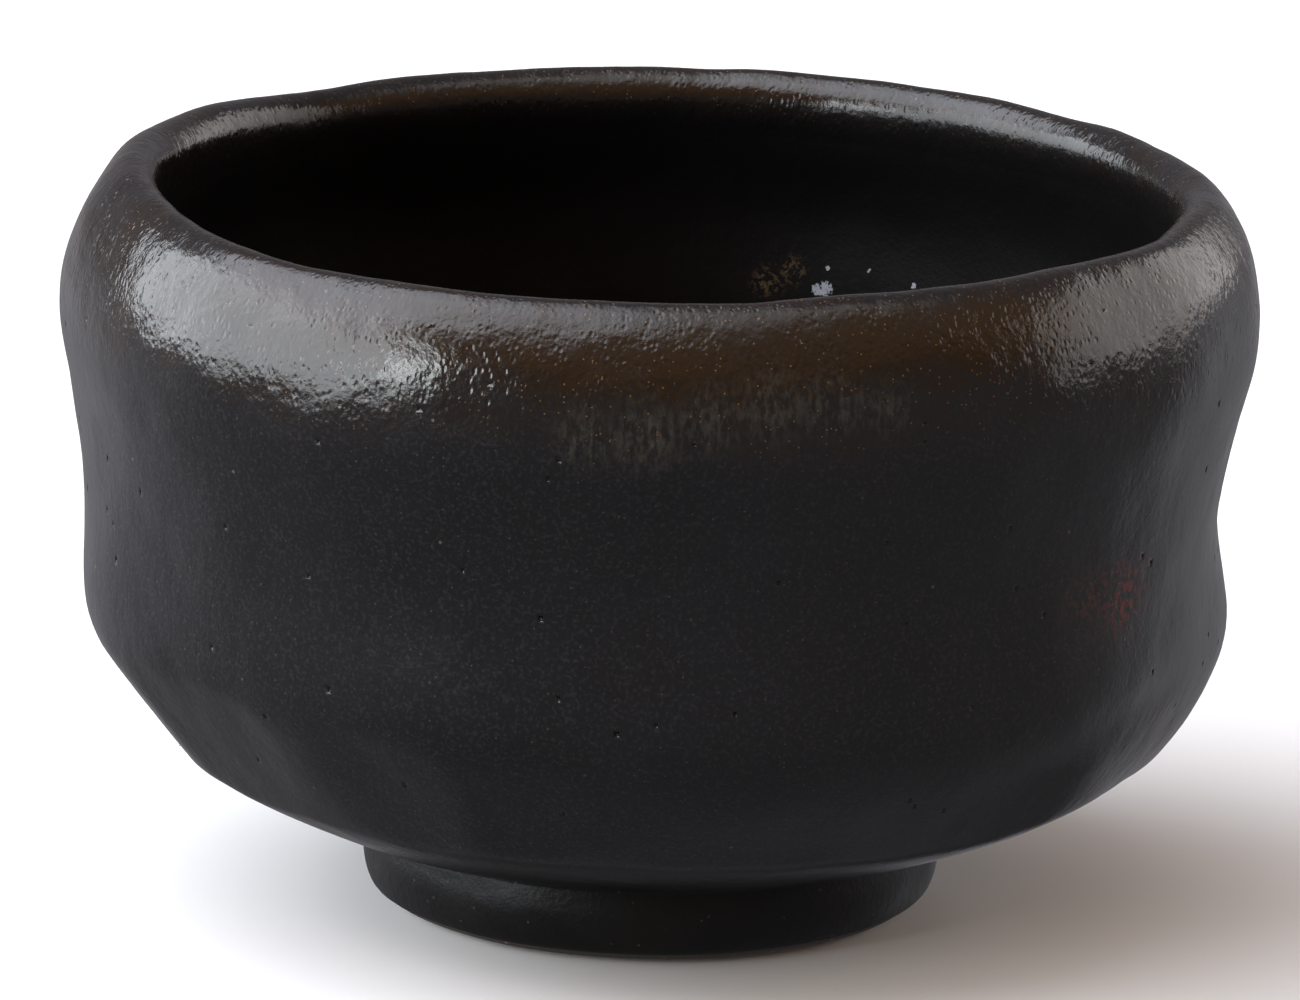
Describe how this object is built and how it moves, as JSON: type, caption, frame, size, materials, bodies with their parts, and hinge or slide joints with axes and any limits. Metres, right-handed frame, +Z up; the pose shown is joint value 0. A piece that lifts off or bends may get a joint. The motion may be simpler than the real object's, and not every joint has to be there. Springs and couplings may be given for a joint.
{
  "type": "matcha bowl",
  "caption": "Low, wide hand-formed tea bowl with a full shoulder, slack waist, low hip and small foot ring, in a very dark satin glaze.",
  "frame": {"origin": "middle of the foot ring's contact face, on the surface that the bowl stands on", "axes": "+Z up, -Y the front of the bowl, +X its right-hand side and its widest way"},
  "size_m": [0.1229, 0.1214, 0.0772],
  "materials": {
    "bare_clay": "coarse dark fired clay, left bare at the contact face",
    "slip": "fired slip",
    "inner_glaze": "near-black satin glaze, pooled and smooth",
    "outer_glaze": "blue-black satin glaze with fine streaks, pinholes and pale freckles",
    "lip_glaze": "glossier brown-black second coat over the lip and shoulder",
    "foot_glaze": "thin black glaze on the foot"
  },
  "bodies": {
    "root": {"clay_body": "bare_clay", "foot_ring": "bare_clay", "luting_slip": "slip", "inner_glaze": "inner_glaze", "outer_glaze": "outer_glaze", "lip_glaze": "lip_glaze", "foot_glaze": "foot_glaze", "recess_glaze": "foot_glaze"}
  },
  "joints": []
}
